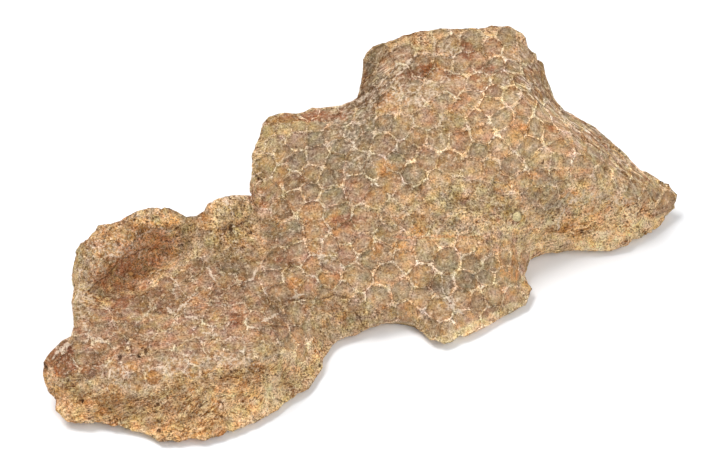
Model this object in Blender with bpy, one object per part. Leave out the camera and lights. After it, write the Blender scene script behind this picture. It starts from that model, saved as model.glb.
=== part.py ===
"""A broken piece of a massive fossil coral head: one solid, lying on its flat broken underside.

The upper surface is a honeycomb of corallites, the many-sided cups that the coral's polyps grew in. It
climbs from a thin front edge to a high plateau at the back right. Porous broken faces close the front, and
rough broken walls close the back. Millimetres are used throughout and turned to metres at the end.

The upper surface is laid out on a slanting drawing plane, square to a line that looks down on the piece
from the front. A point on it is (across, up, height): across runs left to right, up runs up the slanting
plane, and height is measured from the table. Steep faces that look forward get their fair share of it.
"""

import math
import random

import bmesh
import bpy
import numpy as np
from mathutils import Matrix, Vector, geometry, noise

MM = 0.001
NODE = "coral_head"

# The slant of the drawing plane's line of sight above the table.
SLANT = math.radians(50)

# The edge of the upper surface as (across, up, height), clockwise from the left tip.
LEFT_END = [
    (-85, -27, 9), (-85, -23, 12), (-83, -20, 14), (-80, -17, 16), (-78, -15, 18), (-76.5, -12.5, 18),
    (-76.5, -9, 17), (-76.5, -5.5, 16), (-77, -2, 15), (-78, 3, 16), (-77.5, 7, 20), (-76, 9.5, 23),
]
SCOOP_RIM = [
    (-73, 11.5, 25), (-71, 14.5, 27), (-67.5, 15, 28), (-64, 16.5, 29), (-61, 18, 30), (-56.5, 19.5, 30),
    (-51.5, 19, 28), (-46, 17, 26), (-42, 18, 26), (-40.5, 21, 28), (-37.5, 22, 29), (-32.5, 23, 28),
    (-29, 23, 25),
]
SHOULDER = [
    (-27, 24, 20), (-28.5, 26, 20), (-28, 30, 22), (-29.5, 32.5, 24), (-28.5, 36.5, 25), (-27, 40, 26),
    (-26, 43.5, 28), (-24.5, 45.5, 29), (-21.5, 46.5, 29), (-16.5, 46.5, 29), (-12, 48, 29), (-7, 48.5, 30),
    (-2.5, 49, 31), (1, 51, 32),
]
PLATEAU_EDGE = [
    (1.5, 53.5, 33), (2.5, 58, 34.5), (2.5, 62, 36.5), (5.5, 65.5, 40), (11.5, 67.5, 44), (17.5, 69.5, 46.5),
    (24.5, 70.5, 47), (33, 70.5, 47), (39, 71, 47), (44, 71.5, 46), (47.5, 69, 45), (50, 65.5, 42),
    (54, 61, 37), (55, 56.5, 34),
]
RIGHT_FLANK = [
    (57, 51.5, 30), (60, 48, 27), (64.5, 45.5, 24), (69.5, 43, 21), (73.5, 39, 18), (78.5, 35, 15),
    (82, 31, 13), (86, 29, 11), (90.5, 26.5, 9), (93, 23.5, 7), (92.5, 19.5, 4),
]
RIGHT_FOOT = [
    (89, 15.5, 2.5), (83.5, 11.5, 2), (78.5, 9, 2), (73.5, 7.5, 2), (68, 7, 2), (63.5, 7.5, 2.5),
    (58.5, 7, 2.5), (54.5, 6.5, 3), (50.5, 6, 4), (49, 3.5, 4), (48.5, 0.5, 4),
]
FRONT_LOBE = [
    (50.5, -3.5, 3), (48, -7.5, 2.5), (44.5, -10, 2), (40, -12, 2), (36, -14.5, 2), (30, -17, 2),
    (25, -19, 2), (21.5, -18, 2.5), (19.5, -15.5, 3), (17, -13.5, 3), (13.5, -12.5, 3), (8.5, -13, 3),
    (4.5, -14, 3), (0.5, -16, 2.5), (-3.5, -17, 2.5), (-6, -19, 2), (-8, -22, 2),
]
LEFT_FOOT = [
    (-9.5, -26.5, 2), (-12.5, -30.5, 2), (-17, -33, 2), (-22.5, -37, 2), (-28.5, -40, 2),
    (-34.5, -42.5, 2), (-41, -44, 2), (-47.5, -44.5, 2), (-52, -44.5, 2), (-56, -42.5, 2),
    (-60.5, -41.5, 2), (-65, -40.5, 2.5), (-70, -39.5, 2.5), (-74.5, -40, 3), (-78.5, -39, 3),
    (-81.5, -36.5, 5), (-82, -33, 6), (-84, -30.5, 7),
]
EDGE = (
    LEFT_END + SCOOP_RIM + SHOULDER + PLATEAU_EDGE + RIGHT_FLANK + RIGHT_FOOT + FRONT_LOBE + LEFT_FOOT
)

# Heights inside that edge, as (across, up, height), one list for each form of the surface.
LOBE_TOP = [
    (-72, -19.5, 16), (-61, -18, 16), (-47.5, -17, 17), (-34, -15.5, 18), (-21.5, -13, 17),
    (-64.5, -10, 16.5), (-50.5, -7.5, 17), (-37, -6, 18.5), (-24.5, -4.5, 19), (-71, -11.5, 17.5),
]
LOBE_BROW = [
    (-78.5, -25.5, 14), (-73, -27, 14.5), (-65, -27.5, 15), (-59.5, -26.5, 15.5), (-49.5, -24.5, 16.5),
    (-38, -23, 17), (-28, -23, 17), (-23.5, -21, 17), (-17.5, -17.5, 14), (-11.5, -19, 8),
]
LOBE_FACE = [
    (-78.5, -33, 7), (-66.5, -35.5, 6.5), (-53, -38.5, 5.5), (-52.5, -32.5, 11), (-36.5, -37, 5.5),
    (-36.5, -31, 11), (-23, -33, 5), (-24.5, -27, 11), (-15, -26, 5.5),
]
SCOOP = [
    (-73.5, -7, 17), (-75, 1, 19), (-74, 6.5, 22.5), (-67, 11, 26.5), (-60, 14, 28), (-51, 15, 27.5),
    (-44, 14, 25), (-71.5, -1, 20.5), (-68, 3, 22.5), (-63, 7, 23.5), (-57, 11, 24), (-50.5, 12.5, 24.5),
    (-70.5, -4, 15.5), (-66, -1, 14.5), (-61, 2.5, 14.5), (-55.5, 6.5, 15.5), (-49, 9, 18.5),
    (-59.5, -3, 15.5), (-53, 1, 17), (-45.5, 4.5, 19), (-43, 9, 22),
]
KNOB = [(-36.5, 18, 28), (-31.5, 17.5, 25.5), (-36, 10.5, 21.5), (-27.5, 17.5, 22), (-29.5, 9, 20.5)]
MAIN_SLOPE = [
    (-22.5, 36, 28), (-22, 24.5, 25), (-15, 40, 30.5), (-15, 30, 28), (-15, 20, 25), (-2.5, 41.5, 33),
    (-2.5, 31.5, 31), (-2.5, 20, 27), (-2.5, 9, 21.5), (-15, 9, 22), (-15, -0.5, 18.5),
    (-2.5, -2, 16), (-2.5, -10.5, 8.5), (-12, -12, 10.5), (10, 42.5, 37),
    (13, 31.5, 34), (13, 20, 28), (13, 9, 21), (13, -2, 14), (11.5, -8.5, 8.5), (27, 41, 39.5),
    (27, 31.5, 34), (27, 20, 27), (27, 9, 20), (27, -2, 12.5), (24, -12, 6.5), (33.5, -9, 7.5),
    (41, 41, 39.5), (41, 30, 32), (41, 19, 24), (41, 9, 17), (41, -2, 9.5), (45.5, 3.5, 9.5),
    (53.5, 24.5, 25), (54, 14.5, 15), (54, 9.5, 8.5), (65, 27.5, 25), (62.5, 17.5, 15),
    (67, 11, 6), (75.5, 24.5, 18.5), (74, 17.5, 12), (77.5, 12.5, 6), (86, 22, 11), (84.5, 16.5, 6),
]
LEDGE = [
    (-19, -5, 17.2), (-10, -5, 16), (-1, -4.5, 14.8), (5, -5.5, 12.8),
    (-19, -7.5, 14.6), (-10, -7.8, 12.6), (-1, -7.8, 11.4), (5, -9, 9.8),
]
PLATEAU = [
    (0.5, 49.5, 33), (4.5, 52.5, 37.5), (8.5, 55.5, 41), (12, 60, 43.5), (15.5, 64.5, 45.5),
    (7, 60.5, 38.5), (10, 50, 39), (15.5, 53, 42), (24, 53, 43), (14, 58, 42), (20, 59, 41),
    (26, 60.5, 41.5), (33, 61, 42.5), (21.5, 65.5, 44.5), (30, 66.5, 45.5), (40, 66.5, 46),
    (38.5, 60.5, 44.5), (44.5, 64, 46),
]
FLANK_CREST = [
    (41, 52.5, 44.5), (46.5, 56.5, 44), (49.5, 49.5, 42), (52, 35.5, 34), (59, 40, 35.5),
    (69.5, 32.5, 27.5), (81, 26, 17.5),
]
SPOT_HEIGHTS = (
    LOBE_TOP + LOBE_BROW + LOBE_FACE + SCOOP + KNOB + MAIN_SLOPE + LEDGE + PLATEAU + FLANK_CREST
)

# Broken ground with no corallites, as closed lines of (across, up) on the drawing plane.
BROKEN_GROUND = {
    "lobe_face": [
        (-90, -24), (-80, -27.5), (-65, -29), (-52, -26.5), (-40, -25), (-27, -25), (-17, -21),
        (-12, -21), (-5, -24), (-10, -50), (-90, -50),
    ],
    "right_face": [(48, 6), (53, 10), (62, 15.5), (74, 19.5), (86, 20), (97, 20), (92, 0), (50, 0)],
    "scoop": [
        (-85, -3), (-85, 12), (-70, 24), (-45, 24), (-41, 12), (-44, 5), (-54, -2), (-66, -8), (-74, -8),
    ],
    "knob": [(-42, 17), (-40, 11), (-34, 6), (-28, 8), (-26.5, 14), (-28, 26), (-42, 28)],
}

# Lines that the surface breaks along, as (across, up): the lip over the scoop, its foot, and the ledge.
BREAKS = [
    [(-72.5, -2.5), (-68.5, 2), (-63, 6), (-57, 10), (-50.5, 12)],
    [(-71, -4.5), (-66.5, -0.5), (-61.5, 3.5), (-55.5, 7.5), (-49.5, 9.5)],
    [(-20, -6), (-10, -6.3), (-1, -6), (5, -7)],
]

# Corallites measure this much across, and the small ones fill the gaps between the large ones.
CORALLITE_SIZES = [7.4, 6.6, 5.6, 4.8, 4.2]
FILLING_SIZES = [4.2, 3.2]
WALL_HALF_WIDTH = 0.6
WALL_SHARE_OF_CUP = 0.22
CUP_DEPTH = 0.5
FLOOR_RISE = 0.4

# Gentle unevenness of the whole upper surface.
UNEVENNESS = 0.55
UNEVEN_SPACING = 11.0

# Broken ground and walls are chipped at this spacing.
CHIP = 2.5
CHIP_RELIEF = 0.8
CHIP_TILT = 0.45
WALL_CHIP = 3.8
BASE_CHIP = 9.0
EDGE_STEP = 2.6
EDGE_JITTER = 0.7
EDGE_JITTER_SPACING = 1 / 0.9
SCATTER_TRIES = 16000
SCATTER_MARGIN = 7.0
HIGHEST_SEED = 50
SHORTEST_WALL = 1.2
SMALLEST_CELL = 3.0

# The walls run down from the edge to a foot that stands in from it, and swell a little on the way. A high
# wall stands nearly upright. They are filled as one unrolled strip that closes at a seam.
FOOT_INSET = 3.4
FOOT_INSET_PER_HEIGHT = -0.06
LEAST_INSET = 0.6
FOOT_SMOOTHING = 2
WALL_SWELL = 1.0
FULL_SWELL_HEIGHT = 12
WALL_RELIEF = 2.6
WALL_RELIEF_FREQUENCY = 0.11
WALL_RELIEF_OCTAVES = 3
WALL_GRIT = 0.6
SEAM_STEPS = 4
LOWEST_EDGE = 1.2

# Points scattered over a wall or the underside keep this share of their spacing from its border.
BORDER_SHARE = 0.6
FILL_TRIES = 12

SEED = 7


def lifted(across, up, height):
    """The point in space of a point on the drawing plane."""
    return Vector((across, (up - height * math.cos(SLANT)) / math.sin(SLANT), height))


def inside(point, loop):
    """Whether a point on the drawing plane is inside a closed line."""
    x, y = point[0], point[1]
    crossings = 0
    for (x0, y0), (x1, y1) in zip(loop, loop[1:] + loop[:1]):
        if (y0 > y) != (y1 > y) and x < x0 + (y - y0) * (x1 - x0) / (y1 - y0):
            crossings += 1
    return crossings % 2 == 1


def chipped_edge():
    """The edge with its long stretches cut up and its points pushed in and out a little."""
    points = []
    for start, end in zip(EDGE, EDGE[1:] + EDGE[:1]):
        start, end = Vector(start), Vector(end)
        steps = max(1, round((end.xy - start.xy).length / EDGE_STEP))
        across = Vector((end.y - start.y, start.x - end.x)).normalized()
        for k in range(steps):
            point = start.lerp(end, k / steps)
            push = across * noise.noise(point / EDGE_JITTER_SPACING) * EDGE_JITTER
            points.append((point.x + push.x, point.y + push.y))
    return points


def height_surface(stations):
    """A thin-plate spline through the stations, as a function from (across, up) to height."""
    known = np.array(stations, float)
    plane, heights = known[:, :2], known[:, 2]
    count = len(known)

    def kernel(a, b):
        squared = ((a[:, None, :] - b[None, :, :]) ** 2).sum(-1)
        return squared * np.log(squared + 1e-9)

    system = np.zeros((count + 3, count + 3))
    system[:count, :count] = kernel(plane, plane)
    system[:count, count:] = np.c_[np.ones(count), plane]
    system[count:, :count] = system[:count, count:].T
    weights = np.linalg.solve(system, np.r_[heights, np.zeros(3)])

    def height(across, up):
        here = np.array([[across, up]])
        bent = (kernel(here, plane) @ weights[:count])[0]
        return float(bent + weights[count] + weights[count + 1] * across + weights[count + 2] * up)

    return height


def is_broken(across, up):
    return any(inside((across, up), loop) for loop in BROKEN_GROUND.values())


def scatter_seeds(edge, height, rng):
    """Corallite and chip centres, set apart by their own size as measured over the surface."""
    lo = [min(p[k] for p in edge) - SCATTER_MARGIN for k in (0, 1)]
    hi = [max(p[k] for p in edge) + SCATTER_MARGIN for k in (0, 1)]
    seeds = []
    grid = {}
    cell = CORALLITE_SIZES[0]

    def clear(place, size):
        i, j, h = (int(math.floor(c / cell)) for c in place)
        for di in (-1, 0, 1):
            for dj in (-1, 0, 1):
                for dh in (-1, 0, 1):
                    for other, other_size in grid.get((i + di, j + dj, h + dh), ()):
                        if (other - place).length < (size + other_size) / 2:
                            return False
        return True

    rounds = [CORALLITE_SIZES] + [[size] for size in FILLING_SIZES] + [[CHIP]]
    for sizes in rounds:
        for _ in range(SCATTER_TRIES):
            size = rng.choice(sizes)
            across, up = rng.uniform(lo[0], hi[0]), rng.uniform(lo[1], hi[1])
            if is_broken(across, up) != (size == CHIP):
                continue
            tall = min(max(height(across, up), 0), HIGHEST_SEED)
            place = lifted(across, up, tall)
            if clear(place, size):
                key = tuple(int(math.floor(c / cell)) for c in place)
                grid.setdefault(key, []).append((place, size))
                seeds.append((across, up, size))
    return seeds


def dropped(place):
    """The point on the drawing plane of a point in space."""
    return Vector((place.x, place.y * math.sin(SLANT) + place.z * math.cos(SLANT)))


def circumcentre(a, b, c):
    """The point as far from each of three points in space, where three corallites meet."""
    ab, ac = b - a, c - a
    across = ab.cross(ac)
    turned = across.cross(ab) * ac.length_squared + ac.cross(across) * ab.length_squared
    return a + turned / (2 * across.length_squared)


def cell_walls(seeds, height):
    """The walls that stand midway between neighbouring seeds, as (corner points, pairs of corners)."""
    plane = [Vector(s[:2]) for s in seeds]
    _, _, triangles, _, _, _ = geometry.delaunay_2d_cdt(plane, [], [], 0, 1e-6)
    web = bmesh.new()
    verts = [web.verts.new(lifted(p.x, p.y, height(p.x, p.y))) for p in plane]
    for triangle in triangles:
        web.faces.new([verts[i] for i in triangle])
    bmesh.ops.beautify_fill(web, faces=web.faces[:], edges=web.edges[:], method="ANGLE")
    web.faces.index_update()
    corners = [dropped(circumcentre(*(v.co for v in face.verts))) for face in web.faces]
    pairs = [tuple(f.index for f in edge.link_faces) for edge in web.edges if not edge.is_boundary]
    web.free()
    longest = 2 * CORALLITE_SIZES[0]
    return corners, [p for p in pairs if (corners[p[0]] - corners[p[1]]).length < longest]


def without_spurs(cell):
    """The corners of a cell without any line that runs into it and stops."""
    cell = list(cell)
    k = 0
    while k < len(cell):
        if cell[k - 1] == cell[(k + 1) % len(cell)]:
            gone = {k, (k + 1) % len(cell)}
            cell = [corner for n, corner in enumerate(cell) if n not in gone]
            k = 0
        else:
            k += 1
    return cell


def middle_of(corners):
    """A point well inside a cell of any shape: the middle of its largest triangle."""
    flat = [corner.to_3d() for corner in corners]
    triangles = [[corners[i] for i in three] for three in geometry.tessellate_polygon([flat])]
    largest = max(triangles, key=lambda three: geometry.area_tri(*three))
    return sum(largest, Vector((0, 0))) / 3


def honeycomb(edge, seeds, height):
    """The cells clipped to the edge, as (points on the drawing plane, faces, the seed of each face)."""
    corners, walls = cell_walls(seeds, height)
    points = []
    lines = []
    for line in [edge + edge[:1]] + BREAKS:
        lines += [(len(points) + k, len(points) + k + 1) for k in range(len(line) - 1)]
        points += [Vector(p) for p in line]
    lines += [(len(points) + a, len(points) + b) for a, b in walls]
    placed, _, cells, _, _, _ = geometry.delaunay_2d_cdt(points + corners, lines, [], 3, 1e-4)
    places = [lifted(s[0], s[1], height(s[0], s[1])) for s in seeds]
    faces, owners = [], []
    for cell in map(without_spurs, cells):
        middle = middle_of([placed[i] for i in cell])
        if inside(middle, edge):
            here = lifted(middle.x, middle.y, height(middle.x, middle.y))
            faces.append(cell)
            owners.append(min(range(len(places)), key=lambda k: (places[k] - here).length_squared))
    return placed, faces, owners


def tidy_honeycomb(mesh):
    """Merges wall corners that stand too close to each other to show, and joins scraps to a neighbour."""
    bmesh.ops.remove_doubles(mesh, verts=mesh.verts[:], dist=SHORTEST_WALL)
    bmesh.ops.dissolve_degenerate(mesh, edges=mesh.edges[:], dist=0.01)
    while True:
        scrap = next((face for face in mesh.faces if face.calc_area() < SMALLEST_CELL), None)
        if scrap is None:
            break
        inner = [edge for edge in scrap.edges if not edge.is_boundary]
        longest = max(inner, key=lambda edge: edge.calc_length())
        bmesh.ops.dissolve_edges(mesh, edges=[longest], use_verts=False)


def build_upper_surface(height, rng):
    """The honeycomb lifted to its height, each corallite sunk in the middle and each chip raised or sunk."""
    edge = chipped_edge()
    seeds = scatter_seeds(edge, height, rng)
    placed, faces, owners = honeycomb(edge, seeds, height)
    mesh = bmesh.new()
    owner_of = mesh.faces.layers.int.new("seed")
    corners = [mesh.verts.new((p.x, p.y, 0)) for p in placed]
    for face, owner in zip(faces, owners):
        mesh.faces.new([corners[i] for i in face])[owner_of] = owner
    bmesh.ops.delete(mesh, geom=[v for v in mesh.verts if not v.link_faces], context="VERTS")
    tidy_honeycomb(mesh)
    for vert in mesh.verts:
        across, up = vert.co.xy
        bump = UNEVENNESS * noise.noise(Vector((across, up, 0)) / UNEVEN_SPACING)
        if is_broken(across, up):
            bump += rng.uniform(-1, 1) * CHIP_TILT
        tall = height(across, up) + (0 if vert.is_boundary else bump)
        vert.co = lifted(across, up, max(tall, LOWEST_EDGE))
    for face in mesh.faces[:]:
        if seeds[face[owner_of]][2] == CHIP:
            bmesh.ops.poke(mesh, faces=[face], offset=rng.uniform(-1, 1) * CHIP_RELIEF)
            continue
        half_width = min(WALL_HALF_WIDTH, WALL_SHARE_OF_CUP * math.sqrt(face.calc_area()))
        bmesh.ops.inset_individual(
            mesh, faces=[face], thickness=half_width, depth=-CUP_DEPTH, use_even_offset=True
        )
        bmesh.ops.poke(mesh, faces=[face], offset=rng.uniform(-1, 1) * FLOOR_RISE)
    return mesh


def edge_loop(mesh):
    """The open edge of the upper surface, in order, with the surface on its left."""
    start = next(e for e in mesh.edges if e.is_boundary)
    follows = {}
    for edge in mesh.edges:
        if edge.is_boundary:
            loop = edge.link_loops[0]
            follows[loop.vert] = loop.link_loop_next.vert
    first = start.link_loops[0].vert
    ordered = [first]
    while follows[ordered[-1]] is not first:
        ordered.append(follows[ordered[-1]])
    if len(ordered) != len(follows):
        raise ValueError("the edge of the upper surface is more than one loop")
    return ordered


def smoothed(loop, reach):
    """Each point of a closed line drawn to the middle of its neighbours within the reach."""
    near = range(-reach, reach + 1)
    count = len(loop)
    return [sum((loop[(i + k) % count] for k in near), Vector((0, 0))) / len(near) for i in range(count)]


def foot_of(rim):
    """The foot of the wall under each point of the rim, on the table."""
    line = smoothed([point.xy for point in rim], FOOT_SMOOTHING)
    feet = []
    for i, point in enumerate(rim):
        along = (line[(i + 1) % len(line)] - line[i - 1]).normalized()
        inset = FOOT_INSET + FOOT_INSET_PER_HEIGHT * point.z
        feet.append(line[i] + Vector((-along.y, along.x)) * inset)
    feet = smoothed(feet, FOOT_SMOOTHING)
    for i, point in enumerate(rim):
        along = (feet[(i + 1) % len(feet)] - feet[i - 1]).normalized()
        inward = Vector((-along.y, along.x))
        feet[i] += inward * max(LEAST_INSET - (feet[i] - point.xy).dot(inward), 0)
    return [point.to_3d() for point in feet]


def scatter_in(loop, spacing, rng):
    """Points inside a closed line, set apart by the spacing and clear of the line."""
    lo = [min(p[k] for p in loop) for k in (0, 1)]
    hi = [max(p[k] for p in loop) for k in (0, 1)]
    border = [Vector(p) for p in loop]
    found = []
    for _ in range(int(FILL_TRIES * (hi[0] - lo[0]) * (hi[1] - lo[1]) / spacing**2)):
        point = Vector((rng.uniform(lo[0], hi[0]), rng.uniform(lo[1], hi[1])))
        if any((point - other).length < spacing for other in found):
            continue
        if inside(point, loop) and min((point - b).length for b in border) > spacing * BORDER_SHARE:
            found.append(point)
    return found


def fill(loop, spacing, rng):
    """Triangles that fill a closed line on a plane, as (points, faces). The line's points come first."""
    points = [Vector(p) for p in loop] + scatter_in(loop, spacing, rng)
    line = [list(range(len(loop)))]
    placed, _, faces, origins, _, _ = geometry.delaunay_2d_cdt(points, [], line, 1, 1e-6)
    order = [origin[0] for origin in origins]
    return points, [[order[i] for i in face] for face in faces]


def build_walls(mesh, rim_verts, feet, rng):
    """The broken walls between the rim and its foot, unrolled to be filled, then rolled up again."""
    rim = [v.co.copy() for v in rim_verts]
    count = len(rim)
    steps = [(rim[(i + 1) % count] - rim[i]).length for i in range(count)]
    starts = np.r_[0, np.cumsum(steps)]
    drops = [(rim[i % count] - feet[i % count]).length for i in range(count + 1)]
    seam = [drops[0] * k / SEAM_STEPS for k in range(1, SEAM_STEPS)]
    top = [(s, 0.0) for s in starts]
    bottom = [(s, -d) for s, d in zip(starts, drops)]
    right = [(starts[-1], -d) for d in seam]
    left = [(0.0, -d) for d in seam]
    line = top + right + bottom[::-1] + left[::-1]
    points, faces = fill(line, WALL_CHIP, rng)

    def rolled(point):
        i = min(int(np.searchsorted(starts, point[0] + 1e-7, side="right")) - 1, count - 1)
        share = (point[0] - starts[i]) / steps[i]
        drop = drops[i] + (drops[i + 1] - drops[i]) * share
        down = min(max(-point[1] / drop, 0), 1)
        here = rim[i].lerp(rim[(i + 1) % count], share)
        foot = feet[i].lerp(feet[(i + 1) % count], share)
        place = here.lerp(foot, down)
        along = feet[(i + 1) % count] - feet[i]
        outward = Vector((along.y, -along.x, 0)).normalized()
        swell = math.sin(math.pi * down) * min(drop / FULL_SWELL_HEIGHT, 1)
        rough = WALL_RELIEF * noise.fractal(place * WALL_RELIEF_FREQUENCY, 1, 2, WALL_RELIEF_OCTAVES)
        return place + outward * (swell * (WALL_SWELL + rough) + rng.uniform(-1, 1) * WALL_GRIT)

    foot_verts = [mesh.verts.new(f) for f in feet]
    verts = {}
    for k in range(count + 1):
        verts[k] = rim_verts[k % count]
        verts[count + 1 + len(right) + k] = foot_verts[(count - k) % count]
    for k, point in enumerate(points):
        if k not in verts:
            verts[k] = mesh.verts.new(rolled(point))
    for k in range(len(seam)):
        right_index = count + 1 + k
        left_index = len(line) - 1 - k
        mesh.verts.remove(verts[left_index])
        verts[left_index] = verts[right_index]
    for face in faces:
        corners = [verts[i] for i in face]
        if len(set(corners)) == 3:
            mesh.faces.new(corners)
    return foot_verts


def build_base(mesh, foot_verts, rng):
    """The flat underside that the piece rests on."""
    loop = [(v.co.x, v.co.y) for v in foot_verts]
    points, faces = fill(loop, BASE_CHIP, rng)
    verts = foot_verts + [mesh.verts.new((p.x, p.y, 0)) for p in points[len(loop):]]
    for face in faces:
        mesh.faces.new([verts[i] for i in reversed(face)])


def centre_over_origin(mesh):
    """Moves the solid so that the middle of its underside's box is at the origin."""
    lo = [min(v.co[k] for v in mesh.verts) for k in range(3)]
    hi = [max(v.co[k] for v in mesh.verts) for k in range(3)]
    shift = Vector((-(lo[0] + hi[0]) / 2, -(lo[1] + hi[1]) / 2, -lo[2]))
    bmesh.ops.translate(mesh, verts=mesh.verts[:], vec=shift)


def stone_material():
    """Warm tan limestone, dry and dull."""
    material = bpy.data.materials.new("coral_stone")
    material.use_nodes = True
    shader = material.node_tree.nodes["Principled BSDF"]
    shader.inputs["Base Color"].default_value = (0.48, 0.305, 0.168, 1)
    shader.inputs["Roughness"].default_value = 0.85
    shader.inputs["Metallic"].default_value = 0.0
    return material


def build_coral_head():
    rng = random.Random(SEED)
    height = height_surface(EDGE + SPOT_HEIGHTS)
    mesh = build_upper_surface(height, rng)
    rim_verts = edge_loop(mesh)
    feet = foot_of([v.co for v in rim_verts])
    foot_verts = build_walls(mesh, rim_verts, feet, rng)
    build_base(mesh, foot_verts, rng)
    bmesh.ops.triangulate(mesh, faces=mesh.faces[:])
    bmesh.ops.recalc_face_normals(mesh, faces=mesh.faces[:])
    centre_over_origin(mesh)
    mesh.transform(Matrix.Scale(MM, 4))
    data = bpy.data.meshes.new(NODE)
    mesh.to_mesh(data)
    mesh.free()
    data.materials.append(stone_material())
    return bpy.data.objects.new(NODE, data)


for old in list(bpy.data.objects):
    bpy.data.objects.remove(old)
collection = bpy.data.collections.new("fossil_coral_head")
bpy.context.scene.collection.children.link(collection)
collection.objects.link(build_coral_head())
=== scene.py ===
import math

import bmesh
import bpy
import numpy as np
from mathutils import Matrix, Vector


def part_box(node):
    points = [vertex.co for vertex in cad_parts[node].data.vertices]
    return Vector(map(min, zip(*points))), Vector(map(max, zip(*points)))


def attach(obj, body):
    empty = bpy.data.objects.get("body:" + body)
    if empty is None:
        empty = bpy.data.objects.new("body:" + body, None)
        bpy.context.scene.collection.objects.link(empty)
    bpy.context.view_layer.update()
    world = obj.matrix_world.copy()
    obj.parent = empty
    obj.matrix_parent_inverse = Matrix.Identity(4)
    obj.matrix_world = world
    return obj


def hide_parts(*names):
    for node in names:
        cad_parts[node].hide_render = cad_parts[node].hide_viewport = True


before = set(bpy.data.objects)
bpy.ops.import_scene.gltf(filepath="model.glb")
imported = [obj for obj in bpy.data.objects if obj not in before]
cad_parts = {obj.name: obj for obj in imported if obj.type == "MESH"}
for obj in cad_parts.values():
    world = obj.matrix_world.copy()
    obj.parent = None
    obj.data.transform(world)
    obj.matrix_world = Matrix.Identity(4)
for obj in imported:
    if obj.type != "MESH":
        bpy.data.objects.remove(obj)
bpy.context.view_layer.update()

# ---------------------------------------------------------------------------------------------------
# The coral head: one piece of limestone, broken off a massive fossil coral on every side.
# Its carved shape is refined into small facets, and each corallite is told from the broken ground,
# so that walls, cup floors, porous breaks and sandy patches can each wear their own relief and colour.

MM = 0.001
FLOOR_CORNERS_AT_LEAST = 3
RING_FOLD = -0.18  # radians: a floor turns up into its wall by at least this
WALL_REACH = 1.08 * MM
NO_CORALLITE = (Vector((0, 0, 9)), 1.0)


def rim_reach(face, edge):
    """How far a face stretches beyond one of its edges."""
    return 2 * face.calc_area() / edge.calc_length() if edge.calc_length() else 0.0


def is_cup_middle(vert):
    """Whether a corner is the middle of a corallite's floor: the floor round it ends in a narrow wall."""
    if len(vert.link_faces) < FLOOR_CORNERS_AT_LEAST or len(vert.link_faces) != len(vert.link_edges):
        return False
    for face in vert.link_faces:
        rim = next(e for e in face.edges if vert not in e.verts)
        if rim.is_boundary or rim.calc_face_angle_signed(0) > RING_FOLD:
            return False
        beyond = next(f for f in rim.link_faces if f is not face)
        if rim_reach(beyond, rim) > WALL_REACH:
            return False
    return True


def mark_corallites(mesh):
    """Writes how far down its cup each corner lies (0 wall top, 1 foot of the wall, 2 middle of the floor),
    which corallite each face is of (0 none), and which corners are on broken ground. Returns each
    corallite's middle and half width, with a stand-in first for none."""
    depth = mesh.verts.layers.float.new("depth")
    broken = mesh.verts.layers.float.new("broken")
    cup = mesh.faces.layers.int.new("cup")
    owner = {}
    found = [NO_CORALLITE]
    middles = [v for v in mesh.verts if is_cup_middle(v)]
    for number, middle in enumerate(middles, 1):
        middle[depth] = 2.0
        for edge in middle.link_edges:
            ring = edge.other_vert(middle)
            ring[depth] = 1.0
            owner[ring] = number
        for face in middle.link_faces:
            face[cup] = number
        spans = [edge.calc_length() for edge in middle.link_edges]
        found.append((middle.co.copy(), sum(spans) / len(spans)))
    for face in mesh.faces:
        if not face[cup]:
            numbers = [owner[v] for v in face.verts if v in owner]
            face[cup] = numbers[0] if numbers else 0
    for vert in mesh.verts:
        cups = sum(1 for f in vert.link_faces if f[cup])
        vert[broken] = 1.0 - cups / len(vert.link_faces)
    return found


def make_triangles(mesh):
    bmesh.ops.triangulate(mesh, faces=[f for f in mesh.faces if len(f.verts) > 3])


def split_long_edges(mesh, longest, wanted):
    """Halves every edge over a length among the faces wanted, twice at most."""
    for _ in range(2):
        long_edges = [
            e for e in mesh.edges
            if e.calc_length() > longest and any(wanted(f) for f in e.link_faces)
        ]
        bmesh.ops.subdivide_edges(mesh, edges=long_edges, cuts=1)
        make_triangles(mesh)


# Where the piece is looked at from: the aim is the middle of the view, and a place on the surface is told
# as (across, rise) in millimetres from there, square to the line of sight.
SIGHT = math.radians(50)
AIM = Vector((-3.96, 2.02, 18.0)) * MM

# Facets are finest where the piece is looked at, coarser at its back, and left large on its underside.
SAME_PLACE = 1e-6
COARSE = 3 * MM
FINE_AT_BACK = 1.5 * MM
FINE = 0.88 * MM
JUST_TURNED_AWAY = -0.1
FACING_DOWN = -0.95


def looks_up(face):
    return face.normal.z * math.sin(SIGHT) - face.normal.y * math.cos(SIGHT) > JUST_TURNED_AWAY


def lies_down(face):
    return face.normal.z < FACING_DOWN


shape = bmesh.new()
shape.from_mesh(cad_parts["coral_head"].data)
bmesh.ops.remove_doubles(shape, verts=shape.verts[:], dist=SAME_PLACE)
make_triangles(shape)
shape.normal_update()
corallites = mark_corallites(shape)
for length in (COARSE, FINE_AT_BACK):
    split_long_edges(shape, length, lambda face: not lies_down(face))
split_long_edges(shape, FINE, lambda face: looks_up(face) and not lies_down(face))

head_mesh = bpy.data.meshes.new("coral_stone_head")
shape.to_mesh(head_mesh)
shape.free()
head = bpy.data.objects.new("coral_stone_head", head_mesh)
bpy.context.scene.collection.objects.link(head)


# Every corner gets the strength of each stain, crust or wear mark near it, and of each patch and line of
# painted light and painted shade. The marks are patches and lines on the stone, each placed where that part
# of the piece shows it.

PATCH_REACH = 1.6  # a patch is whole out to 0.6 of its half width, and gone at 1.6 of it
LINE_REACH = 1.6  # millimetres from a line at which it is gone
LINE_TOLD_TO = 2  # millimetres from a line past which its distance is told no further
UNDERSIDE_RIM = 0.4 * MM


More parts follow.
